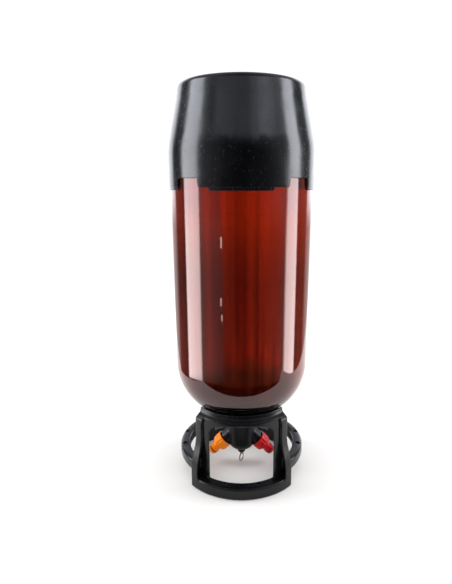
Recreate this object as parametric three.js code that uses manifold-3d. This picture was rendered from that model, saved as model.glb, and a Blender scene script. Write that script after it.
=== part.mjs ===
// A clear amber pressure fermenter: a PET bottle standing neck down in a two-part carry stand,
// with a base cup on its round end and a screw cap that carries two valve posts and a relief valve.
// Millimetres, +Z up, origin on the floor under the bottle's axis. The front of the stand faces -Y.
import * as THREE from 'three';
import { mergeVertices } from 'three/addons/utils/BufferGeometryUtils.js';
import Module from 'manifold-3d';

const wasm = await Module();
wasm.setup();

// ---- driving dimensions ----
const GAP = 0.3;
const BOTTLE_R = 120;
const WALL = 1.6;
const SHOULDER_TOP_Z = 215.8;
const SHOULDER_H = 105.4;
const SHOULDER_END_R = 62;
const DOME_START_Z = 552;
const DOME_H = 106;
const NECK_R = 37.5;
const NECK_BORE_R = 35.6;
const MOUTH_Z = 102.9;
const NECK_TOP_Z = 121.4;
const NECK_FLANGE_R = 41.4;
const NECK_FLANGE_Z = 115.4;
const NECK_FLANGE_H = 2.4;

const CUP_R = 123;
const CUP_WALL = 2.4;
const CUP_TOP_Z = 693;
const CUP_LIP_Z = 525.5;
const CUP_STEP_Z = 530.5;
const CUP_STEP_ANGLE = 24;
const CUP_NOTCH_Z = 544;
const CUP_NOTCH_ANGLE = 46;
const CUP_NOTCH_HALF = 11;
const CUP_TURN = 2;
const CUP_BEND_Z = 592;
const CUP_TOP_R = 104.6;
const CUP_EDGE_R = 5;
const CUP_RECESS_R = 76;
const CUP_RECESS_DEPTH = 6;

const STAND_R = 118.5;
const STAND_WAIST_R = 107;
const STAND_INNER_R = 99;
const STAND_PANEL_R = 102.5;
const STAND_RIM_R = 96;
const STAND_RIM_Z = 147.5;
const STAND_HALF_ANGLE = 50;
const FOOT_H = 21.5;
const POCKET_W = 7;
const POCKET_D = 5;
const POCKET_H = 10;
const POCKET_WALL = 2;
const POCKET_ANGLE = 16.5;
const WINDOW_HALF_W = 56.5;

const GRIP_IN_R = 99;
const GRIP_OUT_R = 117;
const GRIP_LOW_Z = 30;
const GRIP_TOP_Z = 54;
const GRIP_CORNER_R = 6.5;
const LAP_ANGLE = 16;
const SCREW_ANGLE = 11.5;
const SCREW_R = 109;
const SCREW_HEAD_R = 3.7;
const SCREW_HEAD_TOP_Z = 51.2;
const SCREW_HEAD_H = 2.4;
const SCREW_SHANK_R = 1.75;
const SCREW_TIP_Z = 34;

const RING_R = 42.2;
const RING_BORE_R = 39.2;
const RING_LOW_Z = 96;
const RING_TOP_Z = 114.6;
const RING_LIP_R = 27;
const HUB_R = 25.5;
const HUB_LOW_Z = 38;
const HUB_FLANGE_R = 38.6;
const HUB_FLANGE_Z = 98.4;
const HUB_FLANGE_TOP_Z = 100.6;
const HUB_CAVITY_R = 19.5;
const HUB_CAVITY_Z = 58;
const ARM_TILT = Math.PI / 4;
const ARM_START_Z = 83;
const ARM_R = 12.7;
const ARM_BORE_R = 8.6;
const ARM_END = 57.2;

const CAP_MOUTH = 43.8;
const CAP_END = 61.4;
const CAP_R = 16;
const CAP_BORE_R = 14.1;
const POST_TIP = 83.4;
const POST_BORE_R = 5.6;
const POPPET_R = 4.9;
const SPRING_WIRE_R = 0.4;

const RELIEF_R = 8.3;
const RELIEF_LOW_Z = 25.5;
const EYE_Z = 19.6;
const PULL_RING_R = 8.3;
const PULL_WIRE_R = 0.7;
const PULL_TURN = -25;
const EYE_R = 2.3;
const EYE_WIRE_R = 0.6;

// ---- finishes ----
const amberPet = new THREE.MeshStandardMaterial({
  color: 0x7a1c0a,
  roughness: 0.08,
  metalness: 0,
  transparent: true,
  opacity: 0.7,
});
const cupBlack = new THREE.MeshStandardMaterial({ color: 0x1c1d20, roughness: 0.35, metalness: 0 });
const standBlack = new THREE.MeshStandardMaterial({ color: 0x2a2b2e, roughness: 0.5, metalness: 0 });
const capBlack = new THREE.MeshStandardMaterial({ color: 0x141518, roughness: 0.45, metalness: 0 });
const orange = new THREE.MeshStandardMaterial({ color: 0xf07a08, roughness: 0.35, metalness: 0 });
const red = new THREE.MeshStandardMaterial({ color: 0xc41420, roughness: 0.35, metalness: 0 });
const green = new THREE.MeshStandardMaterial({ color: 0x1f6b3a, roughness: 0.4, metalness: 0 });
const rubber = new THREE.MeshStandardMaterial({ color: 0x17181a, roughness: 0.8, metalness: 0 });
const steel = new THREE.MeshStandardMaterial({ color: 0xb8babd, roughness: 0.25, metalness: 1 });

const model = new THREE.Group();
const RAD = Math.PI / 180;

// ---- shape helpers ----
function addMesh(name, geometry, material, parent = model) {
  const mesh = new THREE.Mesh(geometry, material);
  mesh.name = name;
  parent.add(mesh);
  return mesh;
}

function tidy(geometry) {
  geometry.deleteAttribute('normal');
  geometry.deleteAttribute('uv');
  return mergeVertices(geometry, 1e-4);
}

function solid(geometry) {
  const g = tidy(geometry.clone());
  const triVerts = Uint32Array.from(g.index.array);
  const vertProperties = Float32Array.from(g.attributes.position.array);
  return new wasm.Manifold(new wasm.Mesh({ numProp: 3, vertProperties, triVerts }));
}

function toGeometry(manifold) {
  const mesh = manifold.getMesh();
  const g = new THREE.BufferGeometry();
  g.setAttribute('position', new THREE.BufferAttribute(Float32Array.from(mesh.vertProperties), 3));
  g.setIndex(new THREE.BufferAttribute(Uint32Array.from(mesh.triVerts), 1));
  return g;
}

function signedArea(points) {
  let sum = 0;
  for (let i = 0; i < points.length; i++) {
    const [r0, z0] = points[i];
    const [r1, z1] = points[(i + 1) % points.length];
    sum += r0 * z1 - r1 * z0;
  }
  return sum / 2;
}

// Turns a closed outline of [radius, height] points about Z. An outline may start and end on the axis.
function revolve(outline, segments = 48) {
  const points = signedArea(outline) < 0 ? [...outline].reverse() : [...outline];
  const onAxis = points.filter(([r]) => r < 1e-6).length > 0;
  let path = points;
  if (onAxis) {
    const first = points.findIndex(([r], i) => r < 1e-6 && points[(i + 1) % points.length][0] > 1e-6);
    path = [...points.slice(first), ...points.slice(0, first)];
  } else {
    path = [...points, points[0]];
  }
  const g = new THREE.LatheGeometry(path.map(([r, z]) => new THREE.Vector2(r, z)), segments);
  g.rotateX(Math.PI / 2);
  return tidy(g);
}

function disc(radius, low, high, segments = 32) {
  return revolve([[0, low], [radius, low], [radius, high], [0, high]], segments);
}

// A closed ring of round section, in the XY plane at height z.
function torus(ringR, wireR, z, segments = 32, sides = 10) {
  const outline = [];
  for (let i = 0; i < sides; i++) {
    const a = (2 * Math.PI * i) / sides;
    outline.push([ringR + wireR * Math.cos(a), z + wireR * Math.sin(a)]);
  }
  return revolve(outline, segments);
}

// An outline in X and Z pushed along Y between two values.
function prismY(outline, yLow, yHigh) {
  const shape = new THREE.Shape(outline.map(([x, z]) => new THREE.Vector2(x, z)));
  const g = new THREE.ExtrudeGeometry(shape, { depth: yHigh - yLow, bevelEnabled: false });
  g.rotateX(Math.PI / 2);
  g.translate(0, yHigh, 0);
  return tidy(g);
}

// The part of space between two angles about Z, from the front (-Y) round towards +X, in degrees.
function wedge(from, to, zLow = -20, zHigh = 800) {
  const far = 400;
  const points = [new THREE.Vector2(0, 0)];
  const steps = Math.max(2, Math.ceil((to - from) / 30));
  for (let i = 0; i <= steps; i++) {
    const a = (from + ((to - from) * i) / steps) * RAD;
    points.push(new THREE.Vector2(far * Math.sin(a), -far * Math.cos(a)));
  }
  const g = new THREE.ExtrudeGeometry(new THREE.Shape(points), { depth: zHigh - zLow, bevelEnabled: false });
  g.translate(0, 0, zLow);
  return solid(g);
}

function arc(centreR, centreZ, radius, from, to, steps) {
  const points = [];
  for (let i = 0; i <= steps; i++) {
    const a = (from + ((to - from) * i) / steps) * RAD;
    points.push([centreR + radius * Math.cos(a), centreZ + radius * Math.sin(a)]);
  }
  return points;
}

function coil(radius, wireR, zLow, zHigh, turns) {
  class Helix extends THREE.Curve {
    getPoint(t, target = new THREE.Vector3()) {
      const a = 2 * Math.PI * turns * t;
      return target.set(radius * Math.cos(a), radius * Math.sin(a), zLow + (zHigh - zLow) * t);
    }
  }
  const section = new THREE.Shape();
  const sides = 4;
  for (let i = 0; i < sides; i++) {
    const a = (2 * Math.PI * i) / sides;
    const [x, y] = [wireR * Math.cos(a), wireR * Math.sin(a)];
    if (i === 0) section.moveTo(x, y);
    else section.lineTo(x, y);
  }
  const options = { steps: Math.round(turns * 7), bevelEnabled: false, extrudePath: new Helix() };
  return tidy(new THREE.ExtrudeGeometry(section, options));
}

// ---- bottle ----
// Outer surface of the rounded shoulder, which narrows downwards as an ellipse.
function shoulderZ(radius, grow = 0) {
  const ratio = radius / (BOTTLE_R + grow);
  return SHOULDER_TOP_Z - (SHOULDER_H + grow) * Math.sqrt(Math.max(0, 1 - ratio * ratio));
}

function shoulderOutline(fromR, toR, grow, steps) {
  const a0 = Math.acos(fromR / (BOTTLE_R + grow));
  const a1 = Math.acos(toR / (BOTTLE_R + grow));
  const points = [];
  for (let i = 0; i <= steps; i++) {
    const r = (BOTTLE_R + grow) * Math.cos(a0 + ((a1 - a0) * i) / steps);
    points.push([r, shoulderZ(r, grow)]);
  }
  return points;
}

function domeOutline(grow, steps) {
  const points = [];
  for (let i = 0; i <= steps; i++) {
    const a = (90 * i * RAD) / steps;
    const r = i === steps ? 0 : (BOTTLE_R + grow) * Math.cos(a);
    points.push([r, DOME_START_Z + (DOME_H + grow) * Math.sin(a)]);
  }
  return points;
}

function petBottle() {
  const flangeTop = NECK_FLANGE_Z + NECK_FLANGE_H;
  const outside = [
    [NECK_R, MOUTH_Z],
    [NECK_R, NECK_FLANGE_Z],
    [NECK_FLANGE_R, NECK_FLANGE_Z],
    [NECK_FLANGE_R, flangeTop],
    [NECK_R, flangeTop],
    [NECK_R, NECK_TOP_Z - 0.8],
    [NECK_R + 2, NECK_TOP_Z],
    [52, NECK_TOP_Z + 0.5],
    ...shoulderOutline(SHOULDER_END_R, BOTTLE_R, 0, 8),
    ...domeOutline(0, 6),
  ];
  const inside = [
    ...domeOutline(-WALL, 6).reverse(),
    ...shoulderOutline(BOTTLE_R - WALL, SHOULDER_END_R, -WALL, 8),
    [50, NECK_TOP_Z + 2.4],
    [NECK_BORE_R + 2, NECK_TOP_Z + 2],
    [NECK_BORE_R, NECK_TOP_Z],
    [NECK_BORE_R, MOUTH_Z],
  ];
  addMesh('pet_bottle', revolve([...outside, ...inside], 32), amberPet);
}

// ---- base cup ----
function baseCup() {
  const edgeZ = CUP_TOP_Z - CUP_EDGE_R;
  const outside = [
    [CUP_R, CUP_LIP_Z],
    [CUP_R, CUP_BEND_Z],
    [120.9, 602],
    [CUP_TOP_R + 3.4, 668],
    ...arc(CUP_TOP_R - CUP_EDGE_R, edgeZ, CUP_EDGE_R, 8, 90, 3),
    [CUP_RECESS_R + 3, CUP_TOP_Z],
    [CUP_RECESS_R, CUP_TOP_Z - CUP_RECESS_DEPTH],
    [0, CUP_TOP_Z - CUP_RECESS_DEPTH],
  ];
  const ceiling = CUP_TOP_Z - CUP_RECESS_DEPTH - CUP_WALL;
  const inside = [
    [0, ceiling],
    [CUP_RECESS_R - 1, ceiling],
    [CUP_RECESS_R + 2, CUP_TOP_Z - CUP_WALL],
    [CUP_TOP_R - CUP_EDGE_R, CUP_TOP_Z - CUP_WALL],
    [CUP_TOP_R - 3.5, edgeZ - 1],
    [CUP_TOP_R + 0.9, 667],
    [118.4, 601],
    [CUP_R - 2.6, CUP_BEND_Z - 1],
    [CUP_R - 2.6, CUP_LIP_Z],
  ];
  let cup = solid(revolve([...outside, ...inside], 40));
  for (const side of [0, 180]) {
    for (const sign of [-1, 1]) {
      const notch = side + CUP_TURN + sign * CUP_NOTCH_ANGLE;
      const from = notch - CUP_NOTCH_HALF;
      const to = notch + CUP_NOTCH_HALF;
      cup = cup.subtract(wedge(from, to, CUP_LIP_Z - 5, CUP_NOTCH_Z));
      const step = side + sign * CUP_STEP_ANGLE;
      const towardsStep = sign > 0 ? from + 1 : to - 1;
      const stepLow = Math.min(step, towardsStep);
      const stepHigh = Math.max(step, towardsStep);
      cup = cup.subtract(wedge(stepLow, stepHigh, CUP_LIP_Z - 5, CUP_STEP_Z));
    }
  }
  addMesh('base_cup', toGeometry(cup), cupBlack);
}

// ---- stand ----
// One side's wall, dish and neck clasp as a full ring, before it is cut to a half.
function standRing() {
  const waist = [];
  const bendLow = 34;
  const bendHigh = 98;
  for (let i = 0; i <= 4; i++) {
    const t = i / 4;
    const ease = (1 - Math.cos(Math.PI * t)) / 2;
    waist.push([STAND_R + (STAND_WAIST_R - STAND_R) * ease, bendLow + (bendHigh - bendLow) * t]);
  }
  const outline = [
    [STAND_R - 1.5, 0],
    [STAND_R, 1.5],
    ...waist,
    [STAND_WAIST_R, 132],
    [101.5, 137.2],
    [97, 140.6],
    [STAND_RIM_R, 142.5],
    [STAND_RIM_R, STAND_RIM_Z],
    ...shoulderOutline(92.9, SHOULDER_END_R + GAP, GAP + 0.15, 6),
    [52, NECK_TOP_Z - 0.1],
    [NECK_R + 2.4, NECK_TOP_Z - 0.6],
    [NECK_R + GAP, NECK_TOP_Z - 1.4],
    [NECK_R + GAP, NECK_FLANGE_Z + NECK_FLANGE_H + GAP],
    [60, NECK_FLANGE_Z + NECK_FLANGE_H + GAP],
    [70, 124],
    [88, 137],
    [91.5, 138],
    [96, 130],
    [STAND_INNER_R, 124],
    [STAND_INNER_R, 0],
  ];
  return solid(revolve(outline, 40));
}

function foothold(t) {
  const ease = (1 - Math.cos(Math.PI * Math.min(1, Math.max(0, t)))) / 2;
  return 78.5 - 7.6 * ease;
}

// The shallow recess in the stand's face: wide at the foot, drawn in at the waist, arched at the top.
function recessOutline() {
  const right = [];
  for (let i = 0; i <= 4; i++) {
    const z = 34 + (64 * i) / 4;
    right.push([foothold(i / 4), z]);
  }
  right.unshift([foothold(0), FOOT_H]);
  right.push([70.9, 121], [69.5, 130], [67, 135.5], [60, 138], [43.6, 140.5], [22, 142.3], [0, 143]);
  const left = right.slice(0, -1).reverse().map(([x, z]) => [-x, z]);
  return [...right, ...left];
}

function windowOutline() {
  const right = [
    [WINDOW_HALF_W, FOOT_H],
    [WINDOW_HALF_W, 110],
    [53, 119],
    [45, 124.5],
    [34, 128],
    [17, 130],
    [0, 130.5],
  ];
  const left = right.slice(0, -1).reverse().map(([x, z]) => [-x, z]);
  return [...right, ...left];
}

function gripRing() {
  const c = GRIP_CORNER_R;
  const outline = [
    ...arc(GRIP_OUT_R - c, GRIP_LOW_Z + c, c, -90, 0, 2),
    ...arc(GRIP_OUT_R - c, GRIP_TOP_Z - c, c, 0, 90, 2),
    ...arc(GRIP_IN_R + c, GRIP_TOP_Z - c, c, 90, 180, 2),
    ...arc(GRIP_IN_R + c, GRIP_LOW_Z + c, c, 180, 270, 2),
  ];
  return solid(revolve(outline, 40));
}

function screwSpots() {
  const spots = [];
  for (const side of [90, 270]) {
    for (const sign of [-1, 1]) {
      const a = (side + sign * SCREW_ANGLE) * RAD;
      spots.push([SCREW_R * Math.sin(a), -SCREW_R * Math.cos(a)]);
    }
  }
  return spots;
}

function screwCutter(x, y) {
  const headLow = SCREW_HEAD_TOP_Z - SCREW_HEAD_H - GAP;
  const outline = [
    [0, SCREW_TIP_Z - 1],
    [SCREW_SHANK_R + GAP, SCREW_TIP_Z - 1],
    [SCREW_SHANK_R + GAP, headLow],
    [SCREW_HEAD_R + 0.6, headLow],
    [SCREW_HEAD_R + 0.6, GRIP_TOP_Z + 2],
    [0, GRIP_TOP_Z + 2],
  ];
  const g = revolve(outline, 12);
  g.translate(x, y, 0);
  return solid(g);
}

function standHalf() {
  let half = standRing().intersect(wedge(-STAND_HALF_ANGLE, STAND_HALF_ANGLE));
  const recess = solid(prismY(recessOutline(), -140, 0)).subtract(solid(disc(STAND_PANEL_R, -10, 200, 40)));
  half = half.subtract(recess);
  half = half.subtract(solid(prismY(windowOutline(), -140, -60)));
  for (const sign of [-1, 1]) {
    const pocket = new THREE.BoxGeometry(POCKET_W, POCKET_D, 2 * POCKET_H);
    pocket.translate(0, -STAND_INNER_R - POCKET_WALL - POCKET_D / 2, FOOT_H);
    pocket.rotateZ(sign * POCKET_ANGLE * RAD);
    half = half.subtract(solid(pocket));
  }
  const grip = gripRing().subtract(solid(disc(GRIP_IN_R - 5, 0, 100)));
  const lapFrom = 90 - LAP_ANGLE;
  const lapTo = 90 + LAP_ANGLE;
  const mid = (GRIP_LOW_Z + GRIP_TOP_Z) / 2;
  const slack = 0.15;
  const root = 47;
  half = half.add(grip.intersect(wedge(root, lapFrom - slack)));
  half = half.add(grip.intersect(wedge(lapFrom - 1, lapTo - slack, mid + slack, 100)));
  half = half.add(grip.intersect(wedge(-lapFrom + slack, -root)));
  half = half.add(grip.intersect(wedge(-lapTo + slack, -lapFrom + 1, 0, mid - slack)));
  return half;
}

function stand() {
  let front = standHalf();
  let rear = solid(toGeometry(front).rotateZ(Math.PI));
  for (const [x, y] of screwSpots()) {
    const cutter = screwCutter(x, y);
    front = front.subtract(cutter);
    rear = rear.subtract(cutter);
  }
  addMesh('front_frame', toGeometry(front), standBlack.clone());
  addMesh('rear_frame', toGeometry(rear), standBlack.clone());
}

function frameScrews() {
  const outline = [
    [0, SCREW_TIP_Z],
    [SCREW_SHANK_R, SCREW_TIP_Z + 2],
    [SCREW_SHANK_R, SCREW_HEAD_TOP_Z - SCREW_HEAD_H],
    [SCREW_HEAD_R, SCREW_HEAD_TOP_Z - SCREW_HEAD_H],
    [SCREW_HEAD_R, SCREW_HEAD_TOP_Z - 0.8],
    [SCREW_HEAD_R - 1, SCREW_HEAD_TOP_Z],
    [0, SCREW_HEAD_TOP_Z],
  ];
  screwSpots().forEach(([x, y], i) => {
    const screw = addMesh(`frame_screw_${i + 1}`, revolve(outline, 10), steel.clone());
    screw.position.set(x, y, 0);
  });
}

// ---- cap ring, hub and seal ----
function capRing() {
  const outline = [
    [RING_LIP_R, RING_LOW_Z],
    [RING_R - 2, RING_LOW_Z],
    [RING_R, RING_LOW_Z + 2],
    [RING_R, RING_TOP_Z],
    [RING_BORE_R, RING_TOP_Z],
    [RING_BORE_R, HUB_FLANGE_Z - GAP],
    [RING_LIP_R, HUB_FLANGE_Z - GAP],
  ];
  addMesh('cap_ring', revolve(outline, 32), capBlack);
}

function capSeal() {
  const low = HUB_FLANGE_TOP_Z + GAP;
  const high = MOUTH_Z - GAP;
  addMesh('cap_seal', revolve([[33, low], [37.8, low], [37.8, high], [33, high]], 32), rubber);
}

// Moves a shape made along +Z onto a port's axis. side is -1 for the left port and 1 for the right.
function ontoPort(target, side) {
  target.rotation.set(0, side * (Math.PI - ARM_TILT), 0);
  target.position.set(0, 0, ARM_START_Z);
  return target;
}

function portGeometry(geometry, side) {
  const holder = ontoPort(new THREE.Object3D(), side);
  holder.updateMatrix();
  return geometry.applyMatrix4(holder.matrix);
}

function portHub() {
  const body = [
    [0, HUB_LOW_Z],
    [10.5, HUB_LOW_Z],
    ...arc(HUB_R - 15, HUB_LOW_Z + 15, 15, -75, 0, 5),
    [HUB_R, HUB_FLANGE_Z],
    [HUB_FLANGE_R, HUB_FLANGE_Z],
    [HUB_FLANGE_R, HUB_FLANGE_TOP_Z],
    [0, HUB_FLANGE_TOP_Z],
  ];
  let hub = solid(revolve(body, 24));
  for (const side of [-1, 1]) {
    const arm = revolve([[0, 4], [ARM_R, 4], [ARM_R, ARM_END - 1], [ARM_R - 1, ARM_END], [0, ARM_END]], 16);
    hub = hub.add(solid(portGeometry(arm, side)));
  }
  hub = hub.subtract(solid(disc(HUB_CAVITY_R, HUB_CAVITY_Z, HUB_FLANGE_TOP_Z + 5, 20)));
  for (const side of [-1, 1]) {
    hub = hub.subtract(solid(portGeometry(disc(ARM_BORE_R, 6, ARM_END + 5, 12), side)));
  }
  hub = hub.subtract(solid(disc(6.5, HUB_LOW_Z - 5, HUB_CAVITY_Z + 5, 12)));
  addMesh('port_hub', toGeometry(hub), capBlack.clone());
}

// ---- valve caps: a screw cap with a quick-connect post, lengths measured along the port's axis ----
function valveCapOutline() {
  const disk = CAP_END - 2.4;
  return [
    [CAP_R, CAP_MOUTH],
    [CAP_R - 0.6, CAP_END - 1],
    [CAP_R - 1.6, CAP_END],
    [9.7, CAP_END],
    [9.7, 66.2],
    [8.2, 67.2],
    [8.2, 70.6],
    [9.5, 71.6],
    [9.5, 75],
    [8.9, 75.4],
    [7.4, 75.4],
    [7.4, 77.9],
    [8.8, 77.9],
    [8.8, 81.4],
    [7.2, POST_TIP],
    [3.6, POST_TIP],
    [3.6, 81.3],
    [POST_BORE_R, 80.6],
    [POST_BORE_R, 63.2],
    [2.4, 63.2],
    [2.4, 46.5],
    [3.6, 46.5],
    [4.3, 50.5],
    [3.7, 50.7],
    [4.3, 54.5],
    [3.7, 54.7],
    [3.7, disk],
    [CAP_BORE_R, disk],
    [CAP_BORE_R, CAP_MOUTH],
  ];
}

function poppetOutline() {
  return [
    [0, 66.8],
    [1.5, 66.8],
    [1.5, 76.6],
    [POPPET_R, 76.6],
    [POPPET_R, 80],
    [2.9, 80.9],
    [2.9, 82.6],
    [2.2, 83],
    [0, 83],
  ];
}

function valveCap(colourName, side, finish) {
  const port = ontoPort(new THREE.Group(), side);
  model.add(port);
  addMesh(`${colourName}_valve_cap`, revolve(valveCapOutline(), 16), finish, port);
  const washerLow = ARM_END + GAP;
  const washerHigh = CAP_END - 2.4 - GAP;
  const washer = [[9.2, washerLow], [13.4, washerLow], [13.4, washerHigh], [9.2, washerHigh]];
  addMesh(`${colourName}_cap_washer`, revolve(washer, 18), rubber.clone(), port);
  addMesh(`${colourName}_post_oring`, torus(8.65, 0.95, 76.65, 16, 5), rubber.clone(), port);
  addMesh(`${colourName}_poppet`, revolve(poppetOutline(), 10), finish.clone(), port);
  addMesh(`${colourName}_poppet_spring`, coil(4, SPRING_WIRE_R, 63.9, 75.9, 5), steel.clone(), port);
}

// ---- relief valve ----
function reliefValve() {
  const body = [
    [RELIEF_R, HUB_LOW_Z - GAP],
    [6.2, HUB_LOW_Z - GAP],
    [6.2, 52],
    [2.6, 52],
    [2.6, 49.4],
    [5.1, 49.4],
    [5.1, RELIEF_LOW_Z],
    [7.6, RELIEF_LOW_Z],
    [RELIEF_R, 29.2],
  ];
  addMesh('relief_valve_body', revolve(body, 16), capBlack.clone());
  const collar = [
    [1.9, 22.8],
    [5.6, 22.8],
    [6.4, 23.8],
    [6.4, RELIEF_LOW_Z - GAP],
    [4.8, RELIEF_LOW_Z - GAP],
    [4.8, 29],
    [1.9, 29],
  ];
  addMesh('relief_valve_collar', revolve(collar, 16), green);
  const rodTop = 48.9;
  const rod = [
    [0, 21.4],
    [1.4, 21.4],
    [1.4, 44.6],
    [4.7, 44.6],
    [4.7, 47.2],
    [2, 47.2],
    [2, rodTop],
    [0, rodTop],
  ];
  const stem = revolve(rod, 12);
  const eye = torus(EYE_R, EYE_WIRE_R, 0, 14, 6);
  eye.rotateX(Math.PI / 2);
  eye.rotateZ(PULL_TURN * RAD);
  eye.translate(0, 0, EYE_Z);
  addMesh('relief_valve_stem', toGeometry(solid(stem).add(solid(eye))), steel.clone());
  addMesh('relief_valve_seal', torus(3.35, 0.9, 48.3, 16, 6), rubber.clone());
  addMesh('relief_valve_spring', coil(3.2, SPRING_WIRE_R, 29.8, 43.9, 5), steel.clone());
  const ring = torus(PULL_RING_R, PULL_WIRE_R, 0, 28, 6);
  ring.rotateX(Math.PI / 2);
  ring.rotateZ((90 + PULL_TURN) * RAD);
  ring.translate(0, 0, EYE_Z - 0.2 - PULL_RING_R);
  addMesh('pull_ring', ring, steel.clone());
}

petBottle();
baseCup();
stand();
frameScrews();
capRing();
capSeal();
portHub();
valveCap('orange', -1, orange);
valveCap('red', 1, red);
reliefValve();

export default model;
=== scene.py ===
"""A clear amber pressure fermenter standing neck down in its carry stand, in metres around the CAD frame."""
import math

import bpy
from mathutils import Matrix, Vector


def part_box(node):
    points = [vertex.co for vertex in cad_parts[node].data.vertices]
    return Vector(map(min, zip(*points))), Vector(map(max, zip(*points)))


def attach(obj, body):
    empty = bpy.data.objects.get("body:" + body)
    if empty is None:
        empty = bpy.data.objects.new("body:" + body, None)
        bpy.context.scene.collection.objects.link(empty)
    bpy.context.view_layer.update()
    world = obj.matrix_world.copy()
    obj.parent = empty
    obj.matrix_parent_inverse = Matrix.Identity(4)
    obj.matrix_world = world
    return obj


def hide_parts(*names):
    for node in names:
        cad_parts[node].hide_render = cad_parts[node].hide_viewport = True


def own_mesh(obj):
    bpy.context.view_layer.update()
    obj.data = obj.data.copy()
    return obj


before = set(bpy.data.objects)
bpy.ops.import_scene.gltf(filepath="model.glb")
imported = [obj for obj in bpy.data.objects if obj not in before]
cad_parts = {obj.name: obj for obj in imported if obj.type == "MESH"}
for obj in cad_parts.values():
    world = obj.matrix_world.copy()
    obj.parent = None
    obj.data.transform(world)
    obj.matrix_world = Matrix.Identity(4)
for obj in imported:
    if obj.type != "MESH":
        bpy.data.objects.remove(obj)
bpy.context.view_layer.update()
scene = bpy.context.scene
MM = 0.001
RAD = math.pi / 180


# ---------------------------------------------------------------- sizes, in millimetres and degrees
def box_mm(node):
    low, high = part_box(node)
    return [c / MM for c in low], [c / MM for c in high]


bottle_low, bottle_high = box_mm("pet_bottle")
cup_low, cup_high = box_mm("base_cup")
ring_low, ring_high = box_mm("cap_ring")
hub_low, hub_high = box_mm("port_hub")
screw_low, screw_high = box_mm("frame_screw_1")

# bottle
BOTTLE_R = bottle_high[0]
WALL = 1.6
FLANGE_R = 41.4
FLANGE_H = 2.4
MOUTH_Z = bottle_low[2]
DOME_TOP_Z = bottle_high[2]
DOME_H = 106.0
SHOULDER_TOP_Z = MOUTH_Z + 112.9
SHOULDER_H = 105.4
SHOULDER_END_R = 62.0
NECK_R = 37.5
NECK_BORE_R = 35.6
NECK_TOP_Z = MOUTH_Z + 18.5
NECK_THREAD = (MOUTH_Z + 2.2, MOUTH_Z + 10.6)
NECK_THREAD_R = 0.95

# base cup
CUP_R = cup_high[0]
CUP_TOP_Z = cup_high[2]
CUP_LIP_Z = cup_low[2]
CUP_WALL = 2.4
CUP_TURN = 2.0
STEP_ANGLE = 24.0
STEP_Z = 5.0
NOTCH_ANGLE = 46.0
NOTCH_HALF = 11.0
NOTCH_Z = 18.5

# stand
STAND_R = 118.5
WAIST_R = 107.0
WAIST_LOW_Z = 34
WAIST_HIGH_Z = 98
PANEL_R = 102.5
INNER_R = 99.0
RIM_R = 96.0
RIM_Z = box_mm("front_frame")[1][2]
RIM_LEAN = 0.5
HALF_ANGLE = 50.0
FOOT_H = 21.5
FOOT_EDGE_R = 4.5
FOOT_EDGE_ANGLE = 40.5
POCKET_HALF_W = 3.5
POCKET_DEEP = 10
POCKET_IN_R = 101
POCKET_OUT_R = 106
POCKET_ANGLE = 16.5
WINDOW_HALF = 56.5
RECESS_HALF = 78.5
RECESS_NARROWS = 7.6
GRIP_IN_R = 99.0
GRIP_OUT_R = 117.0
GRIP_LOW_Z = 30.0
GRIP_TOP_Z = 54.0
GRIP_ROOT = 46
GRIP_LAP = 16
GRIP_GAP = 0.15
SCREW_R = 109.0
SCREW_ANGLE = 11.5
SCREW_TOP_Z = screw_high[2]
BORE_R = 2.05
BORE_LOW_Z = 33
SINK_R = 4.3
SINK_Z = 48.5

# cap ring and hub
RING_R = ring_high[0]
RING_LOW_Z = ring_low[2]
RING_TOP_Z = ring_high[2]
RING_HOLE_R = 27
RING_BORE_R = 39.2
RIBS = 72
RIB_DEPTH = 0.55
SEAL_IN_R = 33
SEAL_OUT_R = 37.8
HUB_R = 25.5
HUB_DOME_R = 15
HUB_FLANGE_R = 38.6
HUB_FLANGE_Z = 98.4
CHAMBER_R = 19.5
CHAMBER_Z = 58
ARM_R = 12.7
PORT_BORE_R = 8.6
RELIEF_BORE_R = 6.5
HUB_LOW_Z = hub_low[2]
HUB_TOP_Z = hub_high[2]
ARM_START_Z = 83.0
ARM_END = 57.2
PORT_THREAD = (47.5, 55.5)
PORT_THREAD_R = 0.55

# valve caps, measured along a port's axis from where it starts
CAP_MOUTH = 43.8
CAP_END = 61.4
POST_TIP = 83.4
POST_R = 8.8
ORING_R = 8.65
ORING_WIRE_R = 0.95
ORING_AT = 76.65
FLUTES = 12
FLUTE_DEPTH = 0.75
SPRING_TURNS = 5
SPRING_WIRE_R = 0.4
POST_SPRING = (63.9, 75.9)

# relief valve and pull ring
RELIEF_SPRING = (29.8, 43.9)
EYE_R = 2.3
EYE_WIRE_R = 0.6
EYE_Z = 19.6
EYE_TURN = -25
PULL_RING_TURN = EYE_TURN + 90
PULL_RING_WIRE_R = 0.8
PULL_RING_LOOPS = 1.9
HEX_FLAT = 7.45


# ---------------------------------------------------------------- mesh helpers
def new_object(name, verts, faces):
    mesh = bpy.data.meshes.new(name)
    mesh.from_pydata([tuple(c * MM for c in v) for v in verts], [], faces)
    mesh.validate()
    obj = bpy.data.objects.new(name, mesh)
    scene.collection.objects.link(obj)
    return obj


def smooth(obj, angle=38, weighted=True):
    obj.data.shade_smooth()
    obj.data.set_sharp_from_angle(angle=angle * RAD)
    if weighted:
        modifier = obj.modifiers.new("normals", "WEIGHTED_NORMAL")
        modifier.keep_sharp = True
    return obj


def smooth_wire(obj):
    return smooth(obj, 60, weighted=False)


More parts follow.
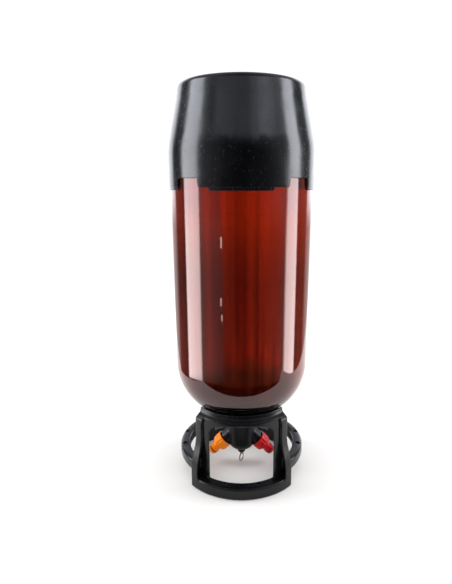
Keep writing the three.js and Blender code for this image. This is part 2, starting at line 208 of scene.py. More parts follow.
def rounded(points, steps=5):
    """A closed outline whose corners (r, z, radius) become arcs. A radius of 0 keeps the corner."""
    out = []
    count = len(points)
    for i, point in enumerate(points):
        here = Vector(point[:2])
        radius = point[2] if len(point) > 2 else 0
        if radius <= 0:
            out.append(tuple(here))
            continue
        back = Vector(points[i - 1][:2]) - here
        ahead = Vector(points[(i + 1) % count][:2]) - here
        turn = back.angle(ahead)
        reach = min(radius / math.tan(turn / 2), back.length * 0.49, ahead.length * 0.49)
        start = here + back.normalized() * reach
        end = here + ahead.normalized() * reach
        for k in range(steps + 1):
            t = k / steps
            out.append(tuple((1 - t) ** 2 * start + 2 * t * (1 - t) * here + t ** 2 * end))
    return out


def arc_points(centre_r, centre_z, radius, start, end, steps):
    return [(centre_r + radius * math.cos((start + (end - start) * i / steps) * RAD),
             centre_z + radius * math.sin((start + (end - start) * i / steps) * RAD))
            for i in range(steps + 1)]


def area(outline):
    total = 0
    for (r0, z0), (r1, z1) in zip(outline, outline[1:] + outline[:1]):
        total += r0 * z1 - r1 * z0
    return total / 2


def lathe(name, outline, segments=192, shape=None):
    """A closed outline of (r, z) turned about Z. shape(r, z, angle) may move a point."""
    outline = [(max(0.0, p[0]), p[1]) for p in outline]
    if area(outline) < 0:
        outline = outline[::-1]
    verts, rows = [], []
    for r, z in outline:
        if r < 1e-6:
            rows.append([len(verts)] * segments)
            verts.append((0, 0, z))
            continue
        row = []
        for k in range(segments):
            a = 2 * math.pi * k / segments
            rr, zz = shape(r, z, a) if shape else (r, z)
            row.append(len(verts))
            verts.append((rr * math.sin(a), -rr * math.cos(a), zz))
        rows.append(row)
    faces = []
    for i, row in enumerate(rows):
        up = rows[(i + 1) % len(rows)]
        for k in range(segments):
            n = (k + 1) % segments
            corners = [row[k], row[n], up[n], up[k]]
            corners = [c for j, c in enumerate(corners) if c not in corners[:j]]
            if len(corners) > 2:
                faces.append(corners)
    return new_object(name, verts, faces)


def sector(name, outline, start, end, step=1.5):
    """A closed outline of (r, z) turned between two angles, in degrees from the front, with flat ends."""
    if area(outline) < 0:
        outline = outline[::-1]
    count = max(2, round((end - start) / step))
    size = len(outline)
    verts, faces = [], []
    for k in range(count + 1):
        a = (start + (end - start) * k / count) * RAD
        verts += [(r * math.sin(a), -r * math.cos(a), z) for r, z in outline]
    for k in range(count):
        for i in range(size):
            j = (i + 1) % size
            faces.append((k * size + i, (k + 1) * size + i, (k + 1) * size + j, k * size + j))
    faces.append(tuple(range(size)))
    faces.append(tuple(count * size + i for i in reversed(range(size))))
    return new_object(name, verts, faces)


def prism_y(name, outline, y_low, y_high):
    """An outline of (x, z) pushed along Y."""
    if area(outline) < 0:
        outline = outline[::-1]
    size = len(outline)
    verts = [(x, y_low, z) for x, z in outline] + [(x, y_high, z) for x, z in outline]
    faces = [tuple(range(size)), tuple(size + i for i in reversed(range(size)))]
    faces += [(i, size + i, size + (i + 1) % size, (i + 1) % size) for i in range(size)]
    return new_object(name, verts, faces)


def apply_all(obj):
    graph = bpy.context.evaluated_depsgraph_get()
    graph.update()
    mesh = bpy.data.meshes.new_from_object(obj.evaluated_get(graph))
    obj.modifiers.clear()
    obj.data = mesh
    return obj


def combine(obj, other, operation):
    modifier = obj.modifiers.new("boolean", "BOOLEAN")
    modifier.operation = operation
    modifier.solver = "EXACT"
    modifier.object = other
    apply_all(obj)
    bpy.data.objects.remove(other)
    return obj


def melt(obj, voxel, passes, faces):
    """Rounds a hard-edged solid: an even remesh, smoothing, then fewer faces where it is flat."""
    remesh = obj.modifiers.new("remesh", "REMESH")
    remesh.mode = "VOXEL"
    remesh.voxel_size = voxel * MM
    apply_all(obj)
    relax = obj.modifiers.new("smooth", "SMOOTH")
    relax.factor = 0.5
    relax.iterations = passes
    apply_all(obj)
    count = len(obj.data.polygons) * 2
    if count > faces:
        fewer = obj.modifiers.new("decimate", "DECIMATE")
        fewer.ratio = faces / count
        apply_all(obj)
    obj.data.shade_smooth()
    return obj


def sweep(name, points, radius, sides=10, closed=False):
    """A round wire along a path of points, with capped ends unless it is closed."""
    count = len(points)
    path = [Vector(p) for p in points]
    verts, faces = [], []
    normal = None
    for i, p in enumerate(path):
        if closed:
            tangent = (path[(i + 1) % count] - path[i - 1]).normalized()
        else:
            tangent = (path[min(i + 1, count - 1)] - path[max(i - 1, 0)]).normalized()
        if normal is None:
            normal = tangent.orthogonal().normalized()
        normal = (normal - tangent * normal.dot(tangent)).normalized()
        side = tangent.cross(normal)
        for k in range(sides):
            a = 2 * math.pi * k / sides
            verts.append(tuple(p + radius * (math.cos(a) * normal + math.sin(a) * side)))
    spans = count if closed else count - 1
    for i in range(spans):
        for k in range(sides):
            n = (k + 1) % sides
            a, b = i * sides, ((i + 1) % count) * sides
            faces.append((a + k, a + n, b + n, b + k))
    if not closed:
        faces.append(tuple(reversed(range(sides))))
        faces.append(tuple((count - 1) * sides + k for k in range(sides)))
    return new_object(name, verts, faces)


def helix(radius, z_low, z_high, turns, per_turn=24, start=0.0):
    steps = round(turns * per_turn)
    return [(radius * math.cos(start + 2 * math.pi * turns * i / steps),
             radius * math.sin(start + 2 * math.pi * turns * i / steps),
             z_low + (z_high - z_low) * i / steps) for i in range(steps + 1)]


def ring_wire(radius, z, count=64):
    return [(radius * math.cos(2 * math.pi * i / count), radius * math.sin(2 * math.pi * i / count), z)
            for i in range(count)]


def put(obj, body, slot, material, *nodes):
    """Gives a finished piece its body, finish and the CAD nodes that it stands for."""
    obj.data.materials.clear()
    obj.data.materials.append(material)
    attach(obj, body)
    if nodes:
        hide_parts(*nodes)
    return obj


# ---------------------------------------------------------------- materials
class Nodes:
    """A material's node tree, with short calls for the nodes that every finish uses."""

    def __init__(self, name):
        self.material = bpy.data.materials.new(name)
        self.material.use_nodes = True
        self.tree = self.material.node_tree
        self.bsdf = self.tree.nodes["Principled BSDF"]
        self.place = self.tree.nodes.new("ShaderNodeTexCoord").outputs["Object"]

    def link(self, source, target):
        self.tree.links.new(source, target)

    def stretched(self, scale):
        mapping = self.tree.nodes.new("ShaderNodeMapping")
        mapping.inputs["Scale"].default_value = scale
        self.link(self.place, mapping.inputs["Vector"])
        return mapping.outputs["Vector"]

    def noise(self, scale, detail=4, rough=0.55, stretch=None):
        node = self.tree.nodes.new("ShaderNodeTexNoise")
        node.inputs["Scale"].default_value = scale
        node.inputs["Detail"].default_value = detail
        node.inputs["Roughness"].default_value = rough
        self.link(self.stretched(stretch) if stretch else self.place, node.inputs["Vector"])
        return node.outputs["Fac"]

    def remap(self, value, low, high, to_low, to_high):
        node = self.tree.nodes.new("ShaderNodeMapRange")
        node.inputs["From Min"].default_value = low
        node.inputs["From Max"].default_value = high
        node.inputs["To Min"].default_value = to_low
        node.inputs["To Max"].default_value = to_high
        self.link(value, node.inputs["Value"])
        return node.outputs["Result"]

    def maths(self, operation, first, second):
        node = self.tree.nodes.new("ShaderNodeMath")
        node.operation = operation
        for socket, value in zip(node.inputs, (first, second)):
            if isinstance(value, float):
                socket.default_value = value
            else:
                self.link(value, socket)
        return node.outputs[0]

    def product(self, first, second):
        return self.maths("MULTIPLY", first, second)

    def total(self, first, second):
        return self.maths("ADD", first, second)

    def split(self):
        """The X, Y and Z of the place on the object."""
        node = self.tree.nodes.new("ShaderNodeSeparateXYZ")
        self.link(self.place, node.inputs[0])
        return node.outputs["X"], node.outputs["Y"], node.outputs["Z"]

    def soft_step(self, value, low, high):
        node = self.tree.nodes.new("ShaderNodeMapRange")
        node.interpolation_type = "SMOOTHSTEP"
        node.inputs["From Min"].default_value = low
        node.inputs["From Max"].default_value = high
        self.link(value, node.inputs["Value"])
        return node.outputs["Result"]

    def mix(self, factor, first, second, operation="MIX"):
        node = self.tree.nodes.new("ShaderNodeMix")
        node.data_type = "RGBA"
        node.blend_type = operation
        if isinstance(factor, float):
            node.inputs["Factor"].default_value = factor
        else:
            self.link(factor, node.inputs["Factor"])
        for socket, value in (("A", first), ("B", second)):
            target = [s for s in node.inputs if s.name == socket and s.type == "RGBA"][0]
            if isinstance(value, tuple):
                target.default_value = (*value, 1)
            else:
                self.link(value, target)
        return [s for s in node.outputs if s.type == "RGBA"][0]

    def bump(self, height, strength, distance):
        node = self.tree.nodes.new("ShaderNodeBump")
        node.inputs["Strength"].default_value = strength
        node.inputs["Distance"].default_value = distance
        self.link(height, node.inputs["Height"])
        previous = self.bsdf.inputs["Normal"].links
        if previous:
            self.link(previous[0].from_socket, node.inputs["Normal"])
        self.link(node.outputs["Normal"], self.bsdf.inputs["Normal"])


SCUFF_PALE = 0.006


def moulded(name, dark, light, rough, grain_scale, grain_depth, ior=1.5, smudge=0.0, scuffs=0.0):
    """A moulded plastic: two close tones, a roughness that varies, a fine grain, and smudges and scuffs."""
    n = Nodes(name)
    cloud = n.noise(26, 5, 0.6)
    colour = n.mix(n.remap(cloud, 0.3, 0.7, 0, 1), dark, light)
    spread = n.remap(cloud, 0.3, 0.7, rough[0], rough[1])
    if smudge:
        streak = n.remap(n.noise(9, 6, 0.65, (1.0, 1.0, 0.35)), 0.56, 0.78, 0, 1)
        colour = n.mix(streak, colour, tuple(c + smudge for c in light))
    if scuffs:
        specks = n.remap(n.noise(330, 4, 0.6, (1.0, 1.0, 0.6)), 0.61, 0.72, 0, 1)
        colour = n.mix(specks, colour, tuple(c + SCUFF_PALE for c in light))
        spread = n.total(spread, n.product(specks, scuffs))
    n.link(colour, n.bsdf.inputs["Base Color"])
    n.link(spread, n.bsdf.inputs["Roughness"])
    n.bsdf.inputs["IOR"].default_value = ior
    n.bump(n.noise(grain_scale, 2, 0.5), grain_depth, 0.0002)
    n.bump(n.noise(240, 3, 0.6), grain_depth * 0.5, 0.0003)
    return n.material


def amber_pet():
    """Clear amber with lengthwise streaks, darker low down, with painted light making it paler on the right
    and painted shade making it darkest at the neck.
    """
    n = Nodes("amber_pet")
    across, _, height = n.split()
    cloud = n.remap(n.noise(7, 3, 0.5, (1, 1, 0.25)), 0.3, 0.7, 0, 1)
    # the amber is darker low down and paler higher up
    high_amber = n.mix(cloud, (0.46, 0.062, 0.012), (0.52, 0.078, 0.017))
    low_amber = n.mix(cloud, (0.20, 0.022, 0.008), (0.24, 0.030, 0.011))
    clear = n.mix(n.remap(height, 0.385, 0.475, 0, 1), low_amber, high_amber)
    flow = n.noise(48, 3, 0.6, (1, 1, 0.02))
    deeper = n.mix(0.35, clear, (0.10, 0.010, 0.004))
    paler = n.mix(0.3, clear, (0.62, 0.12, 0.04))
    streaked = n.mix(n.remap(flow, 0.42, 0.62, 0, 1), deeper, paler)
    # painted light: the right side of the bottle is painted paler amber, more so higher up
    painted_light_right = n.product(n.remap(across, 0.005, 0.05, 0, 0.4), n.remap(height, 0.30, 0.46, 0.15, 1))
    wall = n.mix(painted_light_right, streaked, (0.56, 0.085, 0.012))
    # painted shade: low on the bottle, inside the stand and cap ring, the amber is painted nearly black
    neck = n.remap(height, 0.150, 0.180, 1, 0)
    n.link(n.mix(neck, wall, (0.02, 0.003, 0.002)), n.bsdf.inputs["Base Color"])
    n.bsdf.inputs["Roughness"].default_value = 0.03
    n.bsdf.inputs["IOR"].default_value = 1.62
    n.bsdf.inputs["Specular Tint"].default_value = (1.0, 0.82, 0.80, 1)
    haze = n.remap(height, 0.209, 0.216, 0, 0.075)
    faded = n.remap(height, 0.25, 0.36, 1, 0.55)
    n.link(n.remap(n.product(haze, faded), 0, 1, 1, 0), n.bsdf.inputs["Transmission Weight"])
    n.bump(n.noise(18, 2, 0.5, (1, 1, 0.15)), 0.06, 0.002)
    return n.material


def metal(name, tone, rough):
    n = Nodes(name)
    brushed = n.noise(900, 3, 0.6, (1, 1, 8))
    colour = n.mix(n.remap(n.noise(120, 3), 0.3, 0.7, 0, 1), tuple(c * 0.85 for c in tone), tone)
    n.link(colour, n.bsdf.inputs["Base Color"])
    n.bsdf.inputs["Metallic"].default_value = 1
    n.link(n.remap(brushed, 0.3, 0.7, rough * 0.7, rough * 1.3), n.bsdf.inputs["Roughness"])
    n.bump(brushed, 0.1, 0.0001)
    return n.material


CUP_BLACK = moulded("cup_black", (0.0012, 0.0014, 0.0022), (0.0022, 0.0025, 0.0034), (0.13, 0.24), 900, 0.03,
                    ior=1.49, smudge=0.006, scuffs=0.2)
STAND_BLACK = moulded("stand_black", (0.0022, 0.0024, 0.0032), (0.0036, 0.0038, 0.0048), (0.2, 0.28), 1400,
                      0.05, ior=1.35, smudge=0.004, scuffs=0.1)
CAP_BLACK = moulded("cap_black", (0.0012, 0.0012, 0.0016), (0.0022, 0.0022, 0.0028), (0.3, 0.42), 1200, 0.05,
                    ior=1.33)
ORANGE = moulded("orange_plastic", (1.0, 0.19, 0.0), (1.0, 0.27, 0.0), (0.3, 0.42), 900, 0.05, 1.38)
RED = moulded("red_plastic", (0.44, 0.0, 0.003), (0.58, 0.001, 0.006), (0.26, 0.38), 900, 0.05, 1.4)
GREEN = moulded("green_plastic", (0.008, 0.11, 0.035), (0.012, 0.17, 0.06), (0.3, 0.42), 900, 0.06)
RUBBER = moulded("rubber_black", (0.008, 0.008, 0.008), (0.014, 0.014, 0.014), (0.6, 0.8), 1500, 0.2)
STEEL = metal("steel", (0.30, 0.27, 0.24), 0.24)
AMBER = amber_pet()


# ---------------------------------------------------------------- bottle
def ellipse(radius_at, height_at, start_r, end_r, centre_z, sign, steps):
    """Points of an elliptical end from one radius to another, above (+1) or below (-1) its widest level."""
    a0 = math.acos(min(1, start_r / radius_at))
    a1 = math.acos(min(1, end_r / radius_at))
    return [(radius_at * math.cos(a0 + (a1 - a0) * i / steps),
             centre_z + sign * height_at * math.sin(a0 + (a1 - a0) * i / steps))
            for i in range(steps + 1)]


def bottle():
    dome_z = DOME_TOP_Z - DOME_H
    flange_z = MOUTH_Z + 12.5
    inner_r = BOTTLE_R - WALL
    outside = rounded([
        (NECK_R, MOUTH_Z, 0.7), (NECK_R, flange_z, 0.6), (FLANGE_R, flange_z, 0.9),
        (FLANGE_R, flange_z + FLANGE_H, 0.9), (NECK_R, flange_z + FLANGE_H, 0.5),
        (NECK_R, NECK_TOP_Z - 0.8, 0.8), (NECK_R + 2, NECK_TOP_Z, 2.0), (52, NECK_TOP_Z + 0.5, 0)])
    outside += ellipse(BOTTLE_R, SHOULDER_H, SHOULDER_END_R, BOTTLE_R, SHOULDER_TOP_Z, -1, 40)
    outside += ellipse(BOTTLE_R, DOME_H, BOTTLE_R, 0, dome_z, 1, 28)
    inside = ellipse(inner_r, DOME_H - WALL, 0, inner_r, dome_z, 1, 28)
    inside += ellipse(inner_r, SHOULDER_H - WALL, inner_r, SHOULDER_END_R, SHOULDER_TOP_Z, -1, 40)
    inside += [(50, NECK_TOP_Z + 2.4), (NECK_BORE_R + 2.5, NECK_TOP_Z + 2),
               (NECK_BORE_R + 0.6, NECK_TOP_Z + 1), (NECK_BORE_R, NECK_TOP_Z), (NECK_BORE_R, MOUTH_Z + 0.4)]
    shell = smooth(lathe("bottle_shell", outside + inside, 224), 50, weighted=False)
    put(shell, "bottle", "amber_pet", AMBER, "pet_bottle")
    turns = helix(NECK_R - 0.1, *NECK_THREAD, 2.1, 60)
    thread = smooth_wire(sweep("neck_thread", turns, NECK_THREAD_R, 8))
    put(thread, "bottle", "amber_pet", AMBER)


# ---------------------------------------------------------------- base cup
def step_between(value, low, high):
    t = min(1.0, max(0.0, (value - low) / (high - low)))
    return t * t * (3 - 2 * t)


def lip_height(angle):
    """Height of the cup's lower edge: wide tabs, four shallow steps and four deep notches."""
    deg = (math.degrees(angle) + 90) % 180 - 90
    soft = 0.8
    step = step_between(abs(deg), STEP_ANGLE - soft, STEP_ANGLE + soft)
    off = abs(abs(deg - CUP_TURN) - NOTCH_ANGLE)
    notch = 1 - step_between(off, NOTCH_HALF - soft, NOTCH_HALF + soft)
    beyond = step_between(abs(deg - CUP_TURN), NOTCH_ANGLE - 2, NOTCH_ANGLE + 2)
    low = STEP_Z * step * (1 - beyond)
    return CUP_LIP_Z + max(low, NOTCH_Z * notch)


def base_cup():
    skirt_top = CUP_LIP_Z + 40
    edge_r = 8
    edge_z = CUP_TOP_Z - edge_r
    flat_r = 97
    dish_z = CUP_TOP_Z - 6
    dish_under_z = dish_z - CUP_WALL
    inner_r = CUP_R - 2.6
    lip_h = 0.9
    ledge_z = CUP_LIP_Z + 4.7
    levels = [ledge_z, ledge_z + 0.5, ledge_z + 1.2, CUP_LIP_Z + 10, CUP_LIP_Z + 20.6, CUP_LIP_Z + 30]
    outside = [(CUP_R - 1.1, CUP_LIP_Z), (CUP_R - 0.7, CUP_LIP_Z + 0.4), (CUP_R - 0.6, CUP_LIP_Z + lip_h)]
    outside += [(CUP_R - 0.6, levels[0])] + [(CUP_R, z) for z in levels[1:]] + [(CUP_R, skirt_top)]
    cone = [(CUP_R, skirt_top, 0), (CUP_R - 0.2, CUP_TOP_Z - 98, 190), (108.0, CUP_TOP_Z - 25, 60),
            (105.3, CUP_TOP_Z - 9, 0)]
    outside += rounded(cone, 12)[1:]
    outside += arc_points(flat_r, edge_z, edge_r, 8, 90, 10)
    dish = [(flat_r, CUP_TOP_Z, 0), (79, CUP_TOP_Z, 2.5), (76, dish_z, 2), (0, dish_z, 0)]
    outside += rounded(dish)[1:]
    inside = rounded([(0, dish_under_z, 0), (75, dish_under_z, 2), (78, CUP_TOP_Z - CUP_WALL, 2),
                      (flat_r, CUP_TOP_Z - CUP_WALL, 0)])
    inside += arc_points(flat_r, edge_z, edge_r - CUP_WALL, 90, 8, 6)
    inside += [(105.6, CUP_TOP_Z - 26), (118.2, CUP_TOP_Z - 90), (119.8, CUP_TOP_Z - 103),
               (inner_r, CUP_TOP_Z - 115), (inner_r, skirt_top)]
    inside += [(inner_r, z) for z in reversed(levels)]
    inside += [(inner_r, CUP_LIP_Z + lip_h), (CUP_R - 2.4, CUP_LIP_Z + 0.4), (CUP_R - 2.1, CUP_LIP_Z)]

    def follow_lip(r, z, angle):
        if z >= skirt_top:
            return r, z
        lip = lip_height(angle)
        if z <= CUP_LIP_Z + lip_h:
            return r, lip + z - CUP_LIP_Z
        rank = levels.index(z)
        return r, max(z, lip + lip_h + 0.15 * (rank + 1))

    cup = smooth(lathe("base_cup_shell", outside + inside, 720, follow_lip), 50)
    put(cup, "bottle", "cup_black", CUP_BLACK, "base_cup")


# ---------------------------------------------------------------- stand
def stand_outline():
    waist = []
    for i in range(17):
        ease = (1 - math.cos(math.pi * i / 16)) / 2
        height = WAIST_LOW_Z + (WAIST_HIGH_Z - WAIST_LOW_Z) * i / 16
        waist.append((STAND_R + (WAIST_R - STAND_R) * ease, height))
    slope = [(WAIST_R, 132), (101.5, 137.2), (97, 140.6), (RIM_R, 142.5), (RIM_R - RIM_LEAN, RIM_Z)]
    cradle = ellipse(BOTTLE_R + 0.45, SHOULDER_H + 0.45, 92.9, SHOULDER_END_R + 0.3, SHOULDER_TOP_Z, -1, 16)
    neck_hole = [(52, NECK_TOP_Z - 0.1), (NECK_R + 2.4, NECK_TOP_Z - 0.6), (NECK_R + 0.3, NECK_TOP_Z - 1.4),
                 (NECK_R + 0.3, MOUTH_Z + 15.2)]
    underside = [(60, MOUTH_Z + 15.2), (70, 124), (88, 137), (91.5, 138), (96, 130), (INNER_R, 124),
                 (INNER_R, 0)]
    return [(STAND_R - 1.5, 0), (STAND_R, 1.5)] + waist + slope + cradle + neck_hole + underside


def mirrored(right):
    return right + [(-x, z) for x, z in reversed(right[:-1])]


def recess_outline():
    right = [(RECESS_HALF, FOOT_H)]
    for i in range(13):
        ease = (1 - math.cos(math.pi * i / 12)) / 2
        height = WAIST_LOW_Z + (WAIST_HIGH_Z - WAIST_LOW_Z) * i / 12
        right.append((RECESS_HALF - RECESS_NARROWS * ease, height))
    arch = [(70.9, 121), (70.4, 126), (69.5, 130), (67, 135.5), (60, 138), (43.6, 140.5), (22, 142.3),
            (0, 143)]
    return mirrored(right + arch)


def window_outline():
    arch = [(55.5, 115), (53, 119), (45, 124.5), (34, 128), (17, 130), (0, 130.5)]
    return mirrored([(WINDOW_HALF, FOOT_H), (WINDOW_HALF, 110)] + arch)


def grip_outline():
    corner = 6.5
    low, high = GRIP_LOW_Z + corner, GRIP_TOP_Z - corner
    points = arc_points(GRIP_OUT_R - corner, low, corner, -90, 0, 6)
    points += arc_points(GRIP_OUT_R - corner, high, corner, 0, 90, 6)
    points += arc_points(GRIP_IN_R + corner, high, corner, 90, 180, 6)
    points += arc_points(GRIP_IN_R + corner, low, corner, 180, 270, 6)
    return points


def screw_places():
    places = []
    for side in (90, 270):
        for sign in (-1, 1):
            a = (side + sign * SCREW_ANGLE) * RAD
            places.append((SCREW_R * math.sin(a), -SCREW_R * math.cos(a)))
    return places


def half_slab(outline, low, high):
    """The part of a grip's section between two levels."""
    return [(r, min(high, max(low, z))) for r, z in outline]


def cut_foot(half):
    """Rounds the foot bar's upper edge and sinks the two pockets behind it."""
    edge = [(STAND_R + 4, FOOT_H + 3), (STAND_R - FOOT_EDGE_R, FOOT_H + 3)]
    edge += arc_points(STAND_R - FOOT_EDGE_R, FOOT_H - FOOT_EDGE_R, FOOT_EDGE_R, 90, 0, 8)
    edge += [(STAND_R + 4, FOOT_H - FOOT_EDGE_R)]
    combine(half, sector("edge", edge, -FOOT_EDGE_ANGLE, FOOT_EDGE_ANGLE), "DIFFERENCE")
    low, high = FOOT_H - POCKET_DEEP, FOOT_H + POCKET_DEEP
    outline = [(-POCKET_HALF_W, low), (POCKET_HALF_W, low), (POCKET_HALF_W, high), (-POCKET_HALF_W, high)]
    for sign in (-1, 1):
        pocket = prism_y("pocket", outline, -POCKET_OUT_R, -POCKET_IN_R)
        pocket.data.transform(Matrix.Rotation(sign * POCKET_ANGLE * RAD, 4, "Z"))
        combine(half, pocket, "DIFFERENCE")


def add_grips(half):
    """Adds half of each grip. The upper half laps over the other frame's lower half, where the screws go."""
    outline = grip_outline()
    mid = (GRIP_LOW_Z + GRIP_TOP_Z) / 2
    lap_start = 90 - GRIP_LAP
    lap_end = 90 + GRIP_LAP
    upper = half_slab(outline, mid + GRIP_GAP, 100)
    lower = half_slab(outline, 0, mid - GRIP_GAP)
    combine(half, sector("grip", outline, GRIP_ROOT, lap_start - GRIP_GAP), "UNION")
    combine(half, sector("grip", upper, lap_start - 1, lap_end - GRIP_GAP), "UNION")
    combine(half, sector("grip", outline, -(lap_start - GRIP_GAP), -GRIP_ROOT), "UNION")
    combine(half, sector("grip", lower, -(lap_end - GRIP_GAP), -(lap_start - 1)), "UNION")


def stand_half():
    half = sector("stand_half", stand_outline(), -HALF_ANGLE, HALF_ANGLE)
    recess = prism_y("recess", recess_outline(), -140, 0)
    combine(recess, lathe("core", [(0, -10), (PANEL_R, -10), (PANEL_R, 200), (0, 200)], 240), "DIFFERENCE")
    combine(half, recess, "DIFFERENCE")
    combine(half, prism_y("window", window_outline(), -140, -60), "DIFFERENCE")
    cut_foot(half)
    add_grips(half)
    above = GRIP_TOP_Z + 2
    outline = [(0, BORE_LOW_Z), (BORE_R, BORE_LOW_Z), (BORE_R, SINK_Z), (SINK_R, SINK_Z), (SINK_R, above),
               (0, above)]
    for x, y in screw_places():
        bore = lathe("bore", outline, 40)
        bore.data.transform(Matrix.Translation((x * MM, y * MM, 0)))
        combine(half, bore, "DIFFERENCE")
    melt(half, voxel=0.9, passes=4, faces=120000)
    return half


def stand():
    front = stand_half()
    front.name = "stand_front"
    rear = front.copy()
    rear.data = front.data.copy()
    rear.name = "stand_rear"
    scene.collection.objects.link(rear)
    rear.data.transform(Matrix.Rotation(math.pi, 4, "Z"))
    put(front, "bottle", "stand_black", STAND_BLACK, "front_frame")
    put(rear, "bottle", "stand_black", STAND_BLACK, "rear_frame")


def stand_screws():
    low = screw_low[2]
    top = SCREW_TOP_Z
    head = rounded([(0, low, 0), (1.2, low + 1.4, 0.2), (1.7, low + 2.4, 0.3), (1.7, top - 2.4, 0.2),
                    (3.7, top - 2.4, 0.3), (3.7, top - 0.9, 0.5), (2.4, top, 0.8), (1.9, top, 0.2),
                    (1.5, top - 1.4, 0.2), (0, top - 1.5, 0)], 4)

    def six_sided(r, z, angle):
        if z > top - 1.6 and r < 2.1:
            return r * (0.93 + 0.07 * math.cos(6 * angle)), z
        return r, z

    for i, (x, y) in enumerate(screw_places()):
        screw = smooth(lathe(f"stand_screw_{i + 1}", head, 48, six_sided), 40)
        screw.data.transform(Matrix.Translation((x * MM, y * MM, 0)))
        put(screw, "bottle", "steel", STEEL, f"frame_screw_{i + 1}")


# ---------------------------------------------------------------- cap ring, hub and seal
def cap_ring():
    floor_z = RING_LOW_Z + 2.1

    def ribbed(r, z, angle):
        inside = RING_LOW_Z + 2.6 < z < RING_TOP_Z - 1.6
        if r > RING_R - 0.4 and inside:
            return r - RIB_DEPTH * (0.5 + 0.5 * math.cos(RIBS * angle)) ** 2, z
        return r, z

    outline = rounded([
        (RING_HOLE_R, RING_LOW_Z, 0.4), (RING_R - 2, RING_LOW_Z, 1.2), (RING_R, RING_LOW_Z + 2, 1.2),
        (RING_R, RING_LOW_Z + 2.55, 0), (RING_R, RING_LOW_Z + 3.2, 0), (RING_R, RING_TOP_Z - 2.2, 0),
        (RING_R, RING_TOP_Z - 1.6, 0), (RING_R, RING_TOP_Z, 0.6), (RING_BORE_R, RING_TOP_Z, 0.5),
        (RING_BORE_R, floor_z, 0.3), (RING_HOLE_R, floor_z, 0.3)])
    ring = smooth(lathe("cap_ring_shell", outline, 720, ribbed), 60)
    put(ring, "cap_ring", "cap_black", CAP_BLACK, "cap_ring")


def cap_seal():
    low, high = [z[2] for z in box_mm("cap_seal")]
    outline = rounded([(SEAL_IN_R, low, 0.4), (SEAL_OUT_R, low, 0.4), (SEAL_OUT_R, high, 0.4),
                       (SEAL_IN_R, high, 0.4)], 3)
    put(smooth(lathe("cap_gasket", outline, 128), 60), "hub", "rubber_black", RUBBER, "cap_seal")


def onto_port(obj, side):
    """Moves a piece made along +Z onto a port's axis. side is -1 on the left and 1 on the right."""
    turn = Matrix.Rotation(side * 135 * RAD, 4, "Y")
    obj.data.transform(Matrix.Translation((0, 0, ARM_START_Z * MM)) @ turn)
    return obj


def cylinder(name, radius, low, high, segments):
    return lathe(name, [(0, low), (radius, low), (radius, high), (0, high)], segments)


def port_hub():
    body = [(0, HUB_LOW_Z), (10.5, HUB_LOW_Z)]
    body += arc_points(HUB_R - HUB_DOME_R, HUB_LOW_Z + HUB_DOME_R, HUB_DOME_R, -75, 0, 14)
    body += [(HUB_R, HUB_FLANGE_Z), (HUB_FLANGE_R, HUB_FLANGE_Z), (HUB_FLANGE_R, HUB_TOP_Z), (0, HUB_TOP_Z)]
    hub = lathe("hub_shell", body, 160)
    for side in (-1, 1):
        outline = [(0, 4), (ARM_R, 4), (ARM_R, ARM_END - 0.8), (ARM_R - 0.7, ARM_END), (0, ARM_END)]
        arm = lathe("arm", outline, 96)
        combine(hub, onto_port(arm, side), "UNION")
    combine(hub, cylinder("chamber", CHAMBER_R, CHAMBER_Z, 110, 96), "DIFFERENCE")
    for side in (-1, 1):
        bore = cylinder("bore", PORT_BORE_R, 6, 62, 64)
        combine(hub, onto_port(bore, side), "DIFFERENCE")
    combine(hub, cylinder("bore", RELIEF_BORE_R, 30, 62, 64), "DIFFERENCE")
    melt(hub, voxel=0.7, passes=5, faces=60000)
    put(hub, "hub", "cap_black", CAP_BLACK, "port_hub")
    for side, name in ((-1, "left"), (1, "right")):
        thread = sweep(f"{name}_port_thread", helix(ARM_R + 0.1, *PORT_THREAD, 2.6, 48), PORT_THREAD_R, 8)
        put(smooth_wire(onto_port(thread, side)), "hub", "cap_black", CAP_BLACK)


